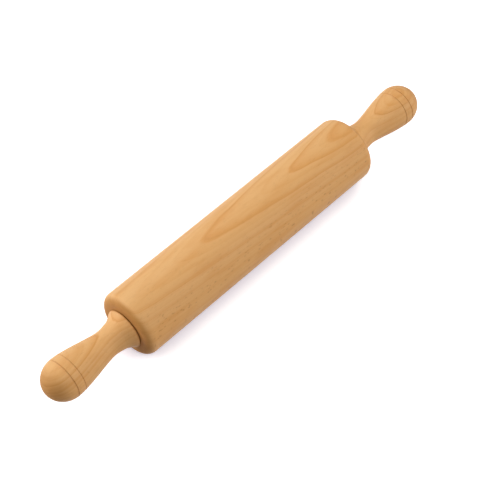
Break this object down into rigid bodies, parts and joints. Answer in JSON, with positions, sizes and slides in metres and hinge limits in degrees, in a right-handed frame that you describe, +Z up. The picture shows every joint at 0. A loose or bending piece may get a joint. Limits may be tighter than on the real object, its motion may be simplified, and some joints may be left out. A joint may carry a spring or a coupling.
{
  "type": "rolling pin",
  "caption": "Wooden rolling pin with a cylindrical barrel that spins on ball bearings between two turned bulb handles fixed to a steel axle.",
  "frame": {"origin": "on the worktop under the middle of the barrel", "axes": "+X along the pin's axis toward the right handle, +Z up, worktop at z = 0"},
  "size_m": [0.44, 0.06, 0.06],
  "materials": {
    "barrel_wood": "fine-sanded bare beech",
    "left_handle_wood": "fine-sanded bare beech",
    "right_handle_wood": "fine-sanded bare beech",
    "axle_steel": "drawn bar",
    "insert_brass": "turned",
    "washer_steel": "zinc plated",
    "race_steel": "ground",
    "ball_steel": "polished",
    "cage_polyamide": "moulded",
    "shield_steel": "pressed sheet"
  },
  "bodies": {
    "handles": {"left_handle": "left_handle_wood", "right_handle": "right_handle_wood", "axle_rod": "axle_steel", "left_threaded_insert": "insert_brass", "left_spacer_washer": "washer_steel", "left_bearing_inner_race": "race_steel", "right_threaded_insert": "insert_brass", "right_spacer_washer": "washer_steel", "right_bearing_inner_race": "race_steel"},
    "barrel": {"barrel": "barrel_wood", "left_bearing_outer_race": "race_steel", "left_bearing_outer_shield": "shield_steel", "left_bearing_inner_shield": "shield_steel", "right_bearing_outer_race": "race_steel", "right_bearing_outer_shield": "shield_steel", "right_bearing_inner_shield": "shield_steel"},
    "left_ball_set": {"left_bearing_balls": "ball_steel", "left_bearing_cage": "cage_polyamide"},
    "right_ball_set": {"right_bearing_balls": "ball_steel", "right_bearing_cage": "cage_polyamide"}
  },
  "joints": [
    {"name": "barrel_spin", "type": "hinge", "parent": "handles", "child": "barrel", "pos_m": [0, 0, 0.03], "axis": [1, 0, 0], "continuous": true},
    {"name": "left_ball_orbit", "type": "hinge", "parent": "handles", "child": "left_ball_set", "pos_m": [-0.1305, 0, 0.03], "axis": [1, 0, 0], "continuous": true},
    {"name": "right_ball_orbit", "type": "hinge", "parent": "handles", "child": "right_ball_set", "pos_m": [0.1305, 0, 0.03], "axis": [1, 0, 0], "continuous": true}
  ],
  "couplings": [
    {"joint": "left_ball_orbit", "follows": "barrel_spin", "ratio": 0.6323},
    {"joint": "right_ball_orbit", "follows": "barrel_spin", "ratio": 0.6323}
  ]
}
